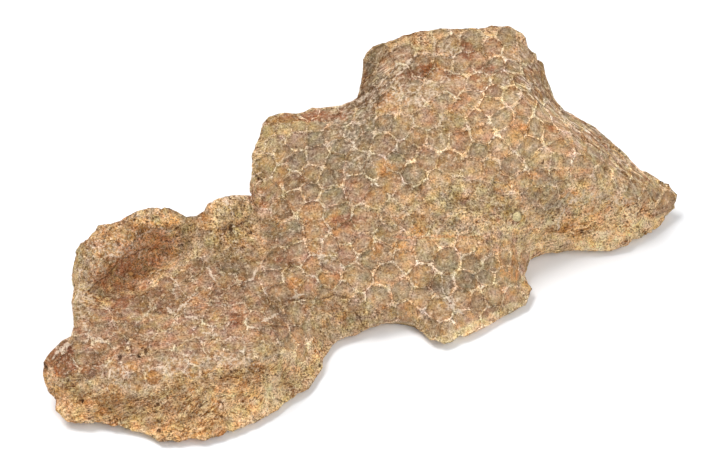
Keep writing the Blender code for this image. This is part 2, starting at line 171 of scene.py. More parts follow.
def corner_array(mesh, name, width=1):
    values = np.empty(len(mesh.vertices) * width, np.float32)
    if name == "position":
        mesh.vertices.foreach_get("co", values)
    else:
        mesh.attributes[name].data.foreach_get("value", values)
    return values.reshape(-1, width) if width > 1 else values


def add_values(mesh, name, values, where="POINT"):
    layer = mesh.attributes.new(name, "FLOAT", where)
    layer.data.foreach_set("value", np.ascontiguousarray(values, np.float32))


def seen_place(points):
    """(across, rise) in millimetres of each point, square to the line of sight."""
    away = (points - np.array(AIM)) / MM
    return away[:, 0], away[:, 1] * math.sin(SIGHT) + away[:, 2] * math.cos(SIGHT)


def patches(points, spots):
    """The strength at each point of patches given as (across, rise, half width, half height, strength)."""
    across, rise = seen_place(points)
    total = np.zeros(len(points))
    for x, y, wide, tall, strength in spots:
        far = np.sqrt(((across - x) / wide) ** 2 + ((rise - y) / tall) ** 2)
        total = np.maximum(total, strength * np.clip(PATCH_REACH - far, 0, 1))
    return total


def outside(points, rounds):
    """How far outside the nearest of some rounds, each (across, rise, half width), each point lies, in
    millimetres. It is less than 0 inside one."""
    across, rise = seen_place(points)
    return np.min([np.hypot(across - x, rise - y) - wide for x, y, wide in rounds], axis=0)


def add_lines(mesh, name, points, strokes):
    """Thin lines, each a list of (across, rise). Every corner gets how far it lies to one side of the nearest
    line, in millimetres, and how near it is, 1 by the line and 0 well away."""
    across, rise = seen_place(points)
    side = np.full(len(points), np.inf)
    for stroke in strokes:
        for (x0, y0), (x1, y1) in zip(stroke, stroke[1:]):
            dx, dy = x1 - x0, y1 - y0
            length = math.hypot(dx, dy)
            share = np.clip(((across - x0) * dx + (rise - y0) * dy) / length ** 2, 0, 1)
            off = np.hypot(across - x0 - share * dx, rise - y0 - share * dy)
            signed = np.where((across - x0) * dy - (rise - y0) * dx < 0, -off, off)
            side = np.where(off < np.abs(side), signed, side)
    add_values(mesh, name + " side", np.clip(side, -LINE_TOLD_TO, LINE_TOLD_TO))
    add_values(mesh, name + " near", np.clip(LINE_REACH - np.abs(side), 0, 1))


# Each patch is (across, rise, half width, half height, strength).
MARKS = {
    "rust": [
        (-66, -12, 7, 5, 1.4), (-60, -6, 4, 3, 0.6), (-68, -17, 5, 4, 0.8), (-81, -34, 4, 5, 1.4),
        (-77, -38, 4, 4, 0.8), (-66, -14, 5, 6, 1.0), (-71, -1.5, 3, 2, 0.7), (-50, -6, 6, 3, 0.1),
        (22, 47.5, 5, 1.5, 0.5), (32, 52.5, 2.5, 2.5, 0.7), (36, 46, 4, 3, 0.5), (17, 45.5, 4, 1.6, 0.8),
        (28, 45, 3, 1.5, 0.5), (36, 42, 2.5, 2, 0.5), (4, 5, 3, 2.5, 0.6), (-3, 4, 4, 2, 0.5),
        (-33, -23, 5, 2, 0.6), (-9, 34, 9, 1.6, 0.8), (-27, 11, 2.5, 4, 0.8), (55, 31, 3, 3, 0.4),
        (84, 16, 3, 2, 0.5), (-20, -8, 2.5, 2.5, 0.4), (-12, -11, 2.5, 2.5, 0.4),
    ],
    "rose": [
        (-50, -20, 30, 13, 0.9), (-20, -14, 18, 10, 0.5), (-64, -30, 16, 9, 0.9), (-8, -6, 22, 10, 0.4),
        (-22, -29, 14, 5, 0.4), (-60, -35, 20, 5, 0.5), (25, 38, 22, 14, 0.2), (55, 22, 12, 10, 0.3),
    ],
    "ochre": [
        (-84, -41, 4, 6, 1.5), (-78, -48, 6, 5, 0.8), (-69, -1, 5, 3.5, 1.5), (-60, 3, 7, 3, 1.0),
        (-54, 1, 6, 4, 0.9), (-52, -5, 5, 3, 0.5), (-40, 6, 2, 4, 1.2), (-61, -8, 7, 4, 1.0),
        (-45, -53, 14, 4, 0.8), (-60, -40, 10, 2.5, 0.6), (65, 3, 9, 3.5, 0.8), (72, 7, 8, 4, 0.5),
        (45.5, 29, 3.5, 3.5, 0.55), (18, 52, 7, 2.5, 0.3), (21.5, 46.8, 4.5, 2, 0.9), (-3, 3, 7, 3, 0.5),
        (11, -4, 8, 3, 0.5), (30, 36, 3, 2.5, 0.6), (44, -10, 6, 8, 0.4), (33, 2, 14, 5, 0.2),
        (18, 2, 8, 5, 0.4), (44, 14, 8, 6, 0.4), (9, 19, 3, 3, 0.6), (61, 11, 3, 2, 0.5),
        (-34, -46, 10, 5, 0.4), (76, 1, 6, 3, 0.4), (-38, -41, 16, 6, 0.6), (-66, -46, 8, 5, 0.8),
        (-60, -38, 9, 4, 0.5), (-52, -48, 10, 5, 0.5), (-16, -14, 3, 3, 0.6), (-21, 2, 3, 4, 0.4),
    ],
    "grey": [
        (-3, 24, 17, 10, 0.9), (3, 43, 5, 8, 1.0), (-1, 50, 4, 4, 0.7), (53, 13, 6, 6, 0.9),
        (56, 8, 5, 4, 0.6), (45, 9, 4, 3, 0.4), (-61, -5, 8, 2.5, 0.9), (-47, 7, 7, 2, 0.8),
        (26, -11, 9, 6, 0.6), (36, -9, 6, 6, 0.6), (-38, -9, 10, 5, 0.6), (16, 18, 14, 6, 0.3),
        (-18, 0, 8, 5, 0.5), (3, -13, 6, 4, 0.4), (47, 40, 4, 3, 0.6), (66, 22, 4, 3, 0.7),
        (82, 12, 5, 3, 0.7), (30, 5, 6, 3, 0.4), (10, 14, 9, 5, 0.5), (34, 3, 8, 3, 0.3),
    ],
    "chalk": [
        (16, 40, 9, 3.5, 0.8), (5, 38, 6, 3, 0.6), (-39, -34, 12, 2, 0.9), (-50, -36, 8, 1.8, 0.8),
        (-63, -38, 3, 3, 0.9), (-85, -48, 2, 5, 0.7), (-65, -4.5, 6, 2, 1.1), (-74, -17, 2.5, 7, 0.9),
        (-71, -7, 3, 4, 0.6), (60, 9, 3, 3, 0.6), (70, 11, 8, 2, 0.6), (-24, 22, 4, 4, 0.4),
        (26.5, -17, 2.5, 7, 0.5), (-3, 28, 5, 4, 0.6), (2, 21, 6, 3, 0.5), (-8, -6, 3, 2, 0.7),
        (-40, 9, 5, 2, 0.5), (27, 52, 3, 3, 0.8), (20, 41.5, 6, 2.5, 0.6), (46, 51, 3, 3, 0.6),
        (48, 54, 4, 5, 0.5), (0, 33, 8, 4, 0.5), (8, 32, 6, 4, 0.4), (27, 44, 5, 3, 0.5),
        (22, 24, 8, 4, 0.3), (40, 34, 5, 4, 0.3), (-22, -18, 5, 2, 0.4),
    ],
    "olive": [
        (-26, 24, 5, 10, 1.0), (-19, 31, 8, 2.5, 0.8), (-77, -14, 2.5, 9, 1.0), (-34, 2, 6, 7, 0.9),
        (56, 48, 3, 5, 0.9), (40, 8, 10, 5, 0.5), (-62, -45, 12, 4, 0.2), (-8, -22, 12, 4, 0.3),
        (84, 15, 4, 3, 0.6), (52, 14, 5, 3, 0.5), (-54, -22, 8, 4, 0.4), (-38, -22, 6, 4, 0.4),
    ],
    "sand": [
        (33, 8, 12, 7, 1.0), (17, 4, 8, 5, 0.6), (-1, -23, 10, 5, 1.0), (62, 3, 14, 6, 0.8),
        (42, 2, 9, 6, 0.9), (66, 12, 10, 5, 0.7), (-35, 0, 9, 7, 0.9), (16, -27, 9, 4, 0.5),
        (-23, -36, 5, 5, 1.2),
    ],
    "worn": [
        (-56, -20, 24, 16, 0.95), (-70, -34, 16, 8, 0.9), (-36, -28, 12, 6, 0.8), (-36, -14, 8, 8, 0.6),
        (26, 32, 8, 5, 0.6), (-34, 10, 10, 9, 0.7), (64, 15, 14, 8, 0.7), (20, 6, 12, 6, 0.6),
        (-24, 30, 7, 8, 0.4),
    ],
    "apricot": [
        (15, -0.3, 5, 0.4, 1.0), (30, 38, 2.5, 2.5, 0.5), (24, -0.1, 6, 0.35, 1.1), (33, -0.2, 4, 0.3, 0.8),
        (-63, -8, 6, 4, 1.0), (-58, -3, 7, 4, 0.9), (-52, -4, 4, 3, 0.4), (-50, 4, 8, 2, 0.4),
        (-66, -13, 5, 4, 0.6),
    ],
    # Just below the ledge on the front face these paint the ledge's shadow; elsewhere they darken the stone
    # to gold-brown.
    "umber_and_ledge_shadow": [
        (-40, -39.5, 14, 2.2, 1.0), (-30, -36.5, 8, 2, 0.8), (-66, -45, 10, 2, 0.9), (-50, -45, 8, 3, 0.6),
        (-34, 0, 5, 4, 0.7), (62, 2, 8, 2, 0.7), (-50, 7, 8, 2, 0.5), (40, 6, 8, 3, 0.4),
        (-24, 33, 8, 1.4, 0.9), (1, 44, 4, 6, 0.6), (-8, -20, 8, 2, 0.5), (84, 8, 3, 3, 0.6),
        (-60, 1, 5, 2, 0.6),
    ],
    # A painted highlight: pale strips where the rounded lower edges catch the light.
    "pale": [
        (62, -3, 12, 1.5, 0.9), (74, 0, 8, 1.6, 1.0), (82, 4, 5, 1.6, 0.9), (26, -29, 4, 1.3, 1.0),
        (31, -27, 4, 1.3, 1.0), (36, -24.8, 4, 1.3, 1.0), (41, -22.4, 4, 1.3, 1.0), (45, -20, 3, 1.3, 1.0),
        (-66, -54, 14, 1.5, 0.9), (-46, -58, 14, 1.5, 1.0), (-30, -52, 8, 1.8, 0.8), (-22, -42, 3, 6, 0.9),
        (-38, -42, 10, 3, 0.5), (48, -18, 1.6, 8, 0.6), (12, -25, 8, 1.4, 0.5),
    ],
    "pitted": [
        (62, 3, 7, 3, 1.0), (75, 8, 6, 3, 0.8), (58, 5, 4, 3, 0.8), (-33, -38, 12, 2.5, 1.0),
        (-58, -31, 5, 3, 0.9), (-34, 2, 6, 5, 1.0), (40, 4, 8, 4, 0.5), (-50, -46, 10, 4, 0.7),
        (84, 8, 4, 3, 0.9), (-20, -44, 4, 6, 0.5), (38, 24, 3, 3, 0.4),
    ],
    "soot": [
        (52, 12, 5, 5, 0.7), (56, 8.5, 4, 4, 0.6), (29, 2, 3, 2, 0.8), (44, 9, 3, 3, 0.6),
        (34, -8, 5, 5, 0.5), (-1, 28, 8, 4, 0.5), (2, 16, 5, 4, 0.4), (-20, 0, 4, 4, 0.4),
        (20, 45, 3, 1.5, 0.8), (70, 22, 3, 2, 0.6),
    ],
    "bare": [
        (-60, 4, 26, 14, 1.6), (-34, 6, 10, 12, 1.6), (-84, -42, 4, 8, 1.0),
    ],
    # Patches painted darker; on the horn's left cheek (3, 43) this is painted shade, of a face turned from
    # the light.
    "dim": [
        (3, 43, 6, 9, 0.8), (17, -26, 6, 4, 0.35), (-58.5, -15, 4, 2, 0.8), (-52, -11, 5, 2, 0.9),
        (-46, -7.5, 4, 2, 0.9), (-74, -6, 3, 5, 0.6), (14, 14, 6, 5, 0.4), (24, 47, 11, 2, 0.5),
        (-81, -33, 3, 4, 0.5), (-64, -26, 10, 6, 0.5), (-67, -6, 4, 1.5, 0.3), (-54, -18, 9, 4, 0.8),
        (-44, 4, 4, 3, 1.1), (10, 52, 8, 4, 0.5), (-74, -36, 6, 5, 0.6), (-24, 3, 5, 4, 0.8),
        (-22, -7, 6, 5, 0.6), (-22, -22, 6, 6, 0.6), (-44, -8, 5, 4, 0.6), (-74, -20, 4, 8, 0.5),
        (-18, 12, 10, 6, 0.3), (-1, 44, 4, 8, 0.4), (8, 52, 6, 4, 0.4), (24, 55, 12, 2, 0.3),
        (-34, -7, 6, 5, 0.8), (-34, -16, 6, 5, 0.6),
    ],
    # Painted light: these patches lift places that lie in shade, in the hollow, on the knob and on the right
    # and lower parts.
    "light": [
        (20, 14, 14, 7, 0.6), (30, 24, 12, 6, 0.5), (47, 34, 9, 8, 1.0), (58, 22, 11, 10, 1.3),
        (68, 15, 10, 8, 1.3), (38, 26, 8, 6, 0.7), (25, -5, 11, 6, 1.2), (44, 0, 12, 6, 1.2),
        (38, 34, 7, 6, 0.9), (10, -16, 12, 5, 0.7), (42, -13, 6, 5, 0.9), (31, -25, 5, 4, 1.1),
        (36, -25, 8, 4, 0.7), (-34, 6, 7, 8, 1.5), (-63, -9, 8, 5, 1.8), (-54, -5, 8, 5, 1.8),
        (-54, 5, 6, 3, 1.0), (-54, -6, 6, 5, 1.6), (-14, -34, 6, 6, 0.9), (-28, -46, 10, 6, 0.9),
        (68, 4, 16, 7, 1.1), (50, 12, 8, 6, 1.0), (-6, -20, 7, 4, 0.6), (28, 6, 5, 3, 0.5),
        (84, 12, 6, 6, 0.7), (-50, -54, 22, 4, 0.5), (38, 50, 10, 6, 0.2), (-84, -38, 3, 5, 0.6),
        (67, 24, 5, 5, 0.8), (77, 14, 5, 5, 0.7), (-2, -27, 4, 3, 0.3), (-84, -36, 3, 3, 0.6),
        (-24, -37, 5, 4, 0.6), (-38, -38, 12, 4, 0.4), (-14, 30, 8, 4, 0.3), (38, 40, 7, 4, 0.3),
        (-76, -48, 8, 5, 0.6),
    ],
    "strata": [
        (46, 44, 4, 4, 1.0), (50, 41, 4, 4, 1.2), (55, 38, 4, 4, 1.2), (60, 34, 4, 4, 1.2),
        (65, 30, 4, 4, 1.2), (70, 26, 4, 4, 1.2), (75, 21, 4, 4, 1.2), (79, 17, 4, 3, 1.0),
        (3, 42, 5, 6, 1.2), (8, 46, 5, 4, 1.0), (-3, 38, 4, 4, 0.8), (10, 50, 6, 3, 0.6),
        (51, 47, 3, 5, 0.7),
    ],
}
# Each vein and crack is the points it runs through, (across, rise). Each pit and pebble is (across, rise,
# half width).
VEINS = [
    [(1, 38), (6, 41), (8.4, 44), (12, 48)], [(9, 42), (13, 46), (17, 51)], [(54, 38), (59.9, 33.3)],
    [(62, 31.5), (67, 27.5)], [(70, 26), (77.6, 19.6)],
    [(24.3, -11), (25, -15.4), (27.5, -18.5), (28.6, -23.5)], [(26.5, -19), (30, -21.5)],
    [(-46.5, -18.5), (-46.8, -23), (-41.8, -22.7)], [(-52, -20), (-49, -22), (-46.5, -18.5), (-44, -16)],
    [(-31.4, -13.2), (-28, -12), (-27.6, -10.4)], [(-40.5, -9.5), (-38, -13)], [(-38, -18), (-35, -19)],
    [(-74, -29.4), (-72.2, -28), (-70, -28.2), (-68.6, -28.8)], [(-50, -12), (-47, -16)],
    [(-71.8, -35.6), (-69.9, -36.1), (-66.6, -34.7), (-64.7, -33)], [(-65.9, -37), (-66.6, -41.4)],
    [(-82, -33), (-80, -31), (-77, -29)], [(-41, -27), (-38, -27.4)], [(-17, -17), (-14, -16)],
    [(-25, -23.4), (-21, -21.5)], [(-35.5, 9.8), (-33.4, 6)], [(-30, 16), (-27, 18)],
    [(-76.5, -9), (-76, -14), (-77.5, -20)], [(-62, -2.6), (-60, 0), (-57, 1.4)],
    [(-84.5, -44), (-83, -50)], [(61, 10), (58, 6), (57.5, 2)],
]
CRACKS_AND_LIP_SHADOW = [
    [(-19, -18), (-15, -17.4), (-10, -17.6), (-5, -16.8), (-1, -17.4)], [(-1.5, -19), (1, -22), (3, -25.2)],
    # The next one is a painted shadow line under the overhanging lip of the hollow, sunk as a groove too.
    [(-71.5, -13.5), (-67, -9.5), (-62, -5.5), (-57.5, -3.4)],
    [(-36, 1.5), (-34, 3), (-32, 2.6), (-30, 4.2)], [(50, 40), (53.5, 36.6)], [(62, 30), (66, 26.5)],
    [(68, 28.4), (73, 23.5)], [(1, 37), (7, 42)], [(-9, -7.5), (-6, -9.8)], [(-34.6, 2), (-33.4, 0.4)],
    [(70.2, 19.4), (71.6, 18.2)], [(-36, -38.5), (-33, -37)], [(-26, -38), (-24, -36)],
]
PITS = [
    (-63.9, -33.2, 0.75), (-56.7, -31.6, 0.6), (-58.8, -32.6, 0.45), (-60.6, -31, 0.35), (-28.8, 0.9, 0.5),
    (-32.5, -4.2, 0.4), (-31.2, -3.4, 0.35), (-34.4, 1.9, 0.6), (70.8, 18.8, 0.4), (-51, -26, 0.35),
    (-64, -22, 0.35), (-56.8, -27, 0.35), (-78, -14, 0.4), (47.5, 6.4, 0.4), (-62.5, -10.5, 0.45),
    (39.2, 15.3, 0.35), (-16.5, 25, 0.4), (-23, -27, 0.35), (52.9, 20.6, 0.45), (64.8, 0.8, 0.5),
    (-74, -45, 0.4),
]
PEBBLES = [(45.4, 5.6, 1.3), (-62.3, -10.5, 0.6)]

points = corner_array(head_mesh, "position", 3)
for name, spots in MARKS.items():
    add_values(head_mesh, name, patches(points, spots))
add_lines(head_mesh, "vein", points, VEINS)
add_lines(head_mesh, "crack", points, CRACKS_AND_LIP_SHADOW)
add_values(head_mesh, "pit", np.clip(outside(points, PITS), -1, 2))
add_values(head_mesh, "pebble", np.clip(outside(points, PEBBLES), -2, 2))
add_values(head_mesh, "underside", np.clip(1 - points[:, 2] / UNDERSIDE_RIM, 0, 1))


# Each corallite gets a few numbers of its own: its colour leans one way, and time has filled it more or less.

CUP_SEED = 11
WALL_HALF_WIDTH = 0.6 * MM
ROUNDNESS = 0.5
CIRCLE_SHARE = 0.93
FILLED_AT_LEAST = 0.3
PLAIN = 0.5
WALL_TOP = 2.0
PAST_WALL_TOP = 2.5

cup_of = np.empty(len(head_mesh.polygons), np.int32)
head_mesh.attributes["cup"].data.foreach_get("value", cup_of)
dice = np.random.default_rng(CUP_SEED)
for name in ("tint", "shade"):
    choice = dice.random(len(corallites))
    choice[0] = PLAIN
    add_values(head_mesh, name, choice[cup_of], "FACE")
filled = FILLED_AT_LEAST + (1 - FILLED_AT_LEAST) * dice.random(len(corallites))
add_values(head_mesh, "filled", filled[cup_of], "FACE")

# How far out each place lies from the middle of its corallite: 0 the middle, 1 the foot of the wall, 2 its
# top. It follows the many-sided wall half way and a plain circle half way, so that corallites look round.
corner_of = np.empty(len(head_mesh.loops), np.int32)
head_mesh.loops.foreach_get("vertex_index", corner_of)
cup_there = np.repeat(cup_of, 3)
middles = np.array([middle for middle, _ in corallites])
half_widths = np.array([half for _, half in corallites]) * CIRCLE_SHARE
gone = np.linalg.norm(points[corner_of] - middles[cup_there], axis=1) - half_widths[cup_there]
circle = np.where(gone < 0, 1 + gone / half_widths[cup_there], 1 + gone / WALL_HALF_WIDTH)
many_sided = WALL_TOP - corner_array(head_mesh, "depth")[corner_of]
outward = np.clip(ROUNDNESS * circle + (1 - ROUNDNESS) * many_sided, 0, PAST_WALL_TOP)
add_values(head_mesh, "out", np.where(cup_there > 0, outward, WALL_TOP), "CORNER")


# The relief: a tree that settles each corner of the stone along its own normal. Broken ground is lumpy and
# pierced by pores, worn corallites are filled nearly to the top of their walls, and everything has a grain.

class Wiring:
    """Adds nodes to a tree and joins them, so that a tree reads as a list of sums."""

    def __init__(self, tree):
        self.tree = tree

    def node(self, kind, settings=(), **inputs):
        """A node with its settings, and with each input given by its name, or by its number as i0, i1."""
        made = self.tree.nodes.new(kind)
        for key, value in dict(settings).items():
            setattr(made, key, value)
        for name, value in inputs.items():
            numbered = name[0] == "i" and name[1:].isdigit()
            self.put(made.inputs[int(name[1:]) if numbered else name.replace("_", " ")], value)
        return made

    def put(self, socket, value):
        if isinstance(value, bpy.types.NodeSocket):
            self.tree.links.new(value, socket)
        else:
            socket.default_value = value

    def math(self, operation, *values):
        made = self.node("ShaderNodeMath", {"operation": operation})
        for socket, value in zip(made.inputs, values):
            self.put(socket, value)
        return made.outputs[0]

    def times(self, total, *values):
        for value in values:
            total = self.math("MULTIPLY", total, value)
        return total

    def plus(self, total, *values):
        for value in values:
            total = self.math("ADD", total, value)
        return total

    def less(self, value):
        """What a value leaves of 1."""
        return self.math("SUBTRACT", 1.0, value)

    def larger(self, a, b):
        return self.math("MAXIMUM", a, b)

    def size_of(self, value):
        return self.math("ABSOLUTE", value)

    def spread(self, value, low, high, out_low=0.0, out_high=1.0):
        """An even climb from one value to another, rounded at both ends."""
        made = self.node("ShaderNodeMapRange", {"interpolation_type": "SMOOTHSTEP"},
                         Value=value, From_Min=low, From_Max=high, To_Min=out_low, To_Max=out_high)
        return made.outputs[0]

    def vector(self, operation, a, b=None, **more):
        made = self.node("ShaderNodeVectorMath", {"operation": operation}, i0=a, **more)
        if b is not None:
            self.put(made.inputs[1], b)
        return made.outputs

    def drawn_out(self, place, direction, share):
        """A place as a pattern drawn out along a direction sees it: it loses a share of its way along."""
        direction = Vector(direction).normalized()
        along = self.vector("DOT_PRODUCT", place, direction)["Value"]
        pulled = self.vector("SCALE", direction, Scale=self.times(along, -share))[0]
        return self.vector("ADD", place, pulled)[0]


FIBRES_RUN = (0.9, 0.0, 0.43)
NOISE_SWING = 4.0  # a noise strays about an eighth from its middle, so this many times it is a full height

relief = bpy.data.node_groups.new("coral_relief", "GeometryNodeTree")
relief_inputs = {
    "Lump Size": 4.5 * MM, "Lump Height": 0.30 * MM,
    "Grain Size": 1.1 * MM, "Grain Height": 0.12 * MM,
    "Fibre Size": 2.0 * MM, "Fibre Height": 0.28 * MM,
    "Pore Size": 1.7 * MM, "Pore Depth": 0.55 * MM,
    "Cup Depth": 0.42 * MM, "Crack Depth": 0.32 * MM,
    "Vein Height": 0.12 * MM, "Pebble Height": 0.9 * MM,
    "Seed": 3.0,
}
relief.interface.new_socket("Geometry", in_out="INPUT", socket_type="NodeSocketGeometry")
relief.interface.new_socket("Geometry", in_out="OUTPUT", socket_type="NodeSocketGeometry")
for name, value in relief_inputs.items():
    socket = relief.interface.new_socket(name, in_out="INPUT", socket_type="NodeSocketFloat")
    socket.default_value = value
w = Wiring(relief)
given = w.node("NodeGroupInput").outputs
place = w.node("GeometryNodeInputPosition").outputs[0]
normal = w.node("GeometryNodeInputNormal").outputs[0]


def named(name):
    return w.node("GeometryNodeInputNamedAttribute", {"data_type": "FLOAT"}, Name=name).outputs[0]


def per(size):
    return w.math("DIVIDE", 1.0, size)


def swells(name, at, detail, roughness, share):
    """Swells and dips, as large and as tall as the tree's inputs of that name say, at a share."""
    noise = w.node("ShaderNodeTexNoise", {"noise_dimensions": "4D"}, Vector=at, W=given["Seed"],
                   Scale=per(given[name + " Size"]), Detail=detail, Roughness=roughness).outputs[0]
    return w.times(w.math("SUBTRACT", noise, 0.5), w.times(given[name + " Height"], NOISE_SWING), share)


broken, sand, worn = named("broken"), named("sand"), named("worn")
rough = w.larger(broken, sand)
lumps = swells("Lump", place, 3.0, 0.6, w.math("MULTIPLY_ADD", rough, 0.7, 0.3))
grain = swells("Grain", place, 2.0, 0.6, w.math("MULTIPLY_ADD", rough, 0.8, 0.6))
fibres = swells("Fibre", w.drawn_out(place, FIBRES_RUN, 0.75), 3.0, 0.65, broken)
pores = w.node("ShaderNodeTexVoronoi", {"voronoi_dimensions": "4D"}, Vector=place, W=given["Seed"],
               Scale=per(given["Pore Size"])).outputs["Distance"]
pores = w.times(w.spread(pores, 0.45, 0.1), w.times(given["Pore Depth"], broken))
fill = w.times(w.spread(named("out"), 1.8, 1.15), given["Cup Depth"])
fill = w.times(fill, w.larger(w.larger(worn, sand), named("filled")))
crack = w.times(w.spread(w.size_of(named("crack side")), 0.9, 0.1), named("crack near"))
crack = w.times(w.larger(crack, w.spread(named("pit"), 0.5, -0.3)), given["Crack Depth"])
ridge = w.times(w.spread(w.size_of(named("vein side")), 1.0, 0.2), named("vein near"))
pebble = w.times(w.spread(named("pebble"), 0.5, -0.8), given["Pebble Height"])
ridge = w.plus(w.times(ridge, given["Vein Height"]), pebble)
height = w.math("SUBTRACT", w.plus(lumps, grain, fibres, fill, ridge), w.plus(pores, crack))
height = w.times(height, w.less(named("underside")))
offset = w.vector("SCALE", normal, Scale=height)[0]
moved = w.node("GeometryNodeSetPosition", Geometry=given["Geometry"], Offset=offset).outputs[0]
smooth = w.node("GeometryNodeSetShadeSmooth", Geometry=moved, Shade_Smooth=True).outputs[0]
stone = bpy.data.materials.new("coral_stone")
real = w.node("GeometryNodeRealizeInstances", Geometry=smooth).outputs[0]
dressed = w.node("GeometryNodeSetMaterial", Geometry=real, Material=stone).outputs[0]
w.tree.links.new(dressed, w.node("NodeGroupOutput").inputs[0])

modifier = head.modifiers.new("relief", "NODES")
modifier.node_group = relief
for item in relief.interface.items_tree:
    if item.in_out == "INPUT" and item.name in relief_inputs:
        modifier[item.identifier] = relief_inputs[item.name]
graph = bpy.context.evaluated_depsgraph_get()
settled = bpy.data.meshes.new_from_object(head.evaluated_get(graph))
head.modifiers.remove(modifier)
head.data = settled

# Nothing stands out past the carved solid's own box, and the underside stays flat.
low, high = (np.array(corner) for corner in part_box("coral_head"))
points = np.clip(corner_array(settled, "position", 3), low, high)
settled.vertices.foreach_set("co", points.astype(np.float32).ravel())
settled.update()
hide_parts("coral_head")
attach(head, "root")


# The stone's colour: warm tan limestone with pale cup walls, a tint of its own for each corallite, stains of
# iron and clay, chalky crusts, fibrous breaks and small dark pores. It is dry, dull and grainy all over.
# Some of the colour is painted light and shade: places lying in shade are painted lighter, painted shade
# darkens the horn's left cheek, the foot of the cup walls and a ring round each pebble, painted shadow lies
# under the front ledge and under the hollow's lip, and the lower edges carry a painted highlight.

def colour(red, green, blue):
    """A colour given as it looks on a screen, 0 to 255, as Blender's linear light."""
    def linear(c):
        c = c / 255
        return c / 12.92 if c <= 0.04045 else ((c + 0.055) / 1.055) ** 2.4
    return (linear(red), linear(green), linear(blue), 1.0)


TAN = colour(223, 188, 148)
DEEP_TAN = colour(194, 156, 116)
CREAM = colour(244, 219, 186)
GREY_BROWN = colour(150, 129, 101)
ROSE = colour(186, 138, 110)
PLUM = colour(150, 106, 88)
APRICOT = colour(206, 142, 98)
RUST = colour(156, 96, 64)
OCHRE = colour(206, 152, 98)
OLIVE = colour(196, 168, 116)
CHALK = colour(236, 212, 186)
SAND = colour(212, 180, 136)
PORE = colour(106, 70, 42)
FIBRE = colour(242, 206, 154)
PAINTED_EDGE_HIGHLIGHT = colour(236, 206, 158)
SOOT = colour(112, 96, 74)
PEBBLE = colour(236, 216, 164)
CRUMB = colour(226, 172, 108)
BROWN = colour(136, 96, 62)
PIT = colour(80, 52, 34)
BROWN_PIT = colour(110, 68, 34)
UMBER_GOLD = colour(150, 98, 44)
UMBER = colour(158, 126, 90)

# What a colour is multiplied by where it turns darker, lighter or another way.
# The first darkens the dim patches; on the horn's left cheek that is painted shade.
PAINTED_SHADE_AND_DARKENING = colour(206, 200, 190)
DARK_MOTTLE = colour(212, 201, 187)
DARK_CRUMB = colour(190, 178, 161)
DARK_SPECK = colour(166, 149, 129)
# Painted light, for places that lie in shade.
PAINTED_LIGHT = (1.36, 1.37, 1.36, 1.0)
BRIGHT_SPECK = (1.6, 1.75, 1.95, 1.0)
RUSTIER = (1.1, 0.99, 0.84, 1.0)
GREYER = (0.95, 1.0, 1.12, 1.0)
GREENER = (0.97, 1.03, 0.94, 1.0)
ROSIER = (1.04, 0.97, 1.03, 1.0)

PORE_SPACING = 1.9 * MM
NEEDLE_SPACING = 0.95 * MM
FIBRE_WAVE = 14 * MM
FIBRE_SWAY = 8 * MM
HORN_CHEEK_ENDS = 20 * MM
RIGHT_FLANK_BEGINS = 22 * MM
FLANK_LAYERS_RUN = (0.77, -0.2, -0.61)
CHEEK_LAYERS_RUN = (0.75, 0.25, 0.61)
BUMP_DEPTH = 0.7 * MM
ROUGHNESS = 0.92
SHINE = 0.2

stone.use_nodes = True
s = Wiring(stone.node_tree)
times, plus, less, larger, spread, size_of = s.times, s.plus, s.less, s.larger, s.spread, s.size_of
shader = stone.node_tree.nodes["Principled BSDF"]
place = s.node("ShaderNodeTexCoord").outputs["Object"]


def mark(name):
    made = s.node("ShaderNodeAttribute", {"attribute_name": name, "attribute_type": "GEOMETRY"})
    return made.outputs["Fac"]


def blend(a, b, amount, kind="MIX"):
    made = s.node("ShaderNodeMix", {"data_type": "RGBA", "blend_type": kind, "clamp_factor": True})
    s.put(made.inputs[0], amount)
    s.put(made.inputs[6], a)
    s.put(made.inputs[7], b)
    return made.outputs[2]


def turned(a, factor, amount):
    return blend(a, factor, amount, "MULTIPLY")


def cloud(size, pattern, detail=2.0, roughness=0.5, at=None):
    """A noise of its own, by its size and by a number that shifts its pattern."""
    moved = s.vector("ADD", at or place, (pattern, pattern * 0.7, -pattern))[0]
    made = s.node("ShaderNodeTexNoise", Vector=moved, Scale=1 / size, Detail=detail, Roughness=roughness)
    return made.outputs[0]


def patchy(name, size, pattern, low=0.3, high=0.65):
    """A stain's strength, broken up at its edges as a stain soaks into stone."""
    soaked = times(s.math("SUBTRACT", cloud(size, pattern, 3.0, 0.6), 0.5), 1.8)
    return times(spread(plus(mark(name), soaked), low, high), spread(mark(name), 0.02, 0.25))


def mixed(a, b, share):
    return s.node("ShaderNodeMix", i0=share, i2=a, i3=b).outputs[0]


broken, sand, worn = mark("broken"), mark("sand"), mark("worn")
tint, shade = mark("tint"), mark("shade")
bare = spread(mark("bare"), 0.1, 0.9)
hidden = larger(broken, sand)
fibrous = times(broken, less(times(bare, 0.85)))
rubble = times(bare, broken)
rubbed = larger(sand, worn)

# On broken ground some patterns are drawn out along the fibres, which run up to the right.
bent = s.node("ShaderNodeTexNoise", Vector=place, Scale=1 / FIBRE_WAVE, Detail=1.0).outputs["Color"]
swayed = s.vector("MULTIPLY_ADD", bent, (FIBRE_SWAY,) * 3, i2=place)[0]
drawn = s.drawn_out(swayed, FIBRES_RUN, 0.72)

# Grain of three sizes: sand grains, crumbs, and mottling as wide as a cup wall.
along_fibres = times(fibrous, 0.65)
speck = cloud(0.46 * MM, 0.1, 2.0, 0.6)
crumb = mixed(cloud(1.0 * MM, 0.2, 3.0, 0.7), cloud(0.8 * MM, 0.2, 3.0, 0.7, drawn), along_fibres)
mottle = mixed(cloud(2.6 * MM, 0.3, 4.0, 0.7), cloud(2.0 * MM, 0.3, 4.0, 0.7, drawn), along_fibres)
wobble = plus(times(crumb, 0.5), times(mottle, 1.2), -0.85)
wander = plus(times(cloud(4 * MM, 1.8, 3.0, 0.65), 3.0), -1.5)
outward = plus(mark("out"), wobble)

